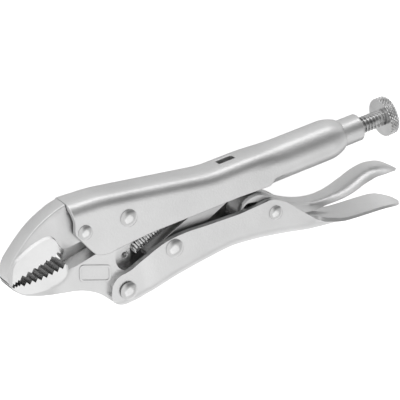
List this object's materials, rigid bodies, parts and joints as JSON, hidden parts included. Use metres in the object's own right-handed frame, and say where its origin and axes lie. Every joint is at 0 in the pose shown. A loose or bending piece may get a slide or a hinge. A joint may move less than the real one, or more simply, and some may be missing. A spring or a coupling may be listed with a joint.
{
  "type": "locking pliers",
  "caption": "Small curved-jaw locking pliers with wire cutter: pressed channel handles, forged jaws, over-centre toggle link, release lever and knurled adjusting screw.",
  "frame": {"origin": "centre of the tool's footprint as it lies on its side, on the surface it rests on", "axes": "+X along the adjusting screw, from the jaws to the knob; +Y across the tool in the plane of the handles, towards the fixed handle; +Z through its thickness, up"},
  "size_m": [0.1376, 0.0434, 0.0148],
  "materials": {
    "satin_nickel": "satin pearl nickel plate",
    "bright_nickel": "bright nickel plate",
    "ground_steel": "ground, nickel flashed",
    "spring_steel": "drawn music wire, plated"
  },
  "bodies": {
    "frame": {"fixed_handle": "satin_nickel", "upper_jaw": "satin_nickel", "upper_jaw_rivet": "bright_nickel", "jaw_pivot_rivet": "bright_nickel", "jaw_spring": "spring_steel"},
    "lower_jaw": {"lower_jaw": "satin_nickel"},
    "lower_handle": {"lower_handle": "satin_nickel", "lower_jaw_rivet": "bright_nickel", "toggle_rivet": "bright_nickel", "release_rivet": "bright_nickel"},
    "toggle_link": {"toggle_link": "ground_steel"},
    "release_lever": {"release_lever": "satin_nickel"},
    "screw_travel": {"screw_nose": "bright_nickel"},
    "screw": {"adjusting_screw": "bright_nickel", "knurled_knob": "bright_nickel"}
  },
  "joints": [
    {"name": "jaw_pivot", "type": "hinge", "parent": "frame", "child": "lower_jaw", "pos_m": [-0.02879, 0.01121, 0.0074], "axis": [0, 0, 1], "range_deg": [0, 28], "deforming": ["jaw_spring"]},
    {"name": "handle_pivot", "type": "hinge", "parent": "lower_jaw", "child": "lower_handle", "pos_m": [-0.03349, -0.01149, 0.0074], "axis": [0, 0, 1], "range_deg": [-71, 0]},
    {"name": "toggle_pivot", "type": "hinge", "parent": "lower_handle", "child": "toggle_link", "pos_m": [-0.01609, -0.00399, 0.0074], "axis": [0, 0, 1], "range_deg": [0, 79]},
    {"name": "release_pivot", "type": "hinge", "parent": "lower_handle", "child": "release_lever", "pos_m": [0.01981, -0.00589, 0.0074], "axis": [0, 0, 1], "range_deg": [-9, 0]},
    {"name": "screw_feed", "type": "slide", "parent": "frame", "child": "screw_travel", "axis": [1, 0, 0], "range_m": [0, 0.012]},
    {"name": "screw_turn", "type": "hinge", "parent": "screw_travel", "child": "screw", "pos_m": [0.06571, 0.00801, 0.0074], "axis": [1, 0, 0], "range_deg": [0, 3600]}
  ],
  "couplings": [
    {"joint": "handle_pivot", "follows": "jaw_pivot", "ratio": -2.527},
    {"joint": "toggle_pivot", "follows": "jaw_pivot", "ratio": 2.812},
    {"joint": "screw_turn", "follows": "screw_feed", "rad_per_m": 5236}
  ]
}
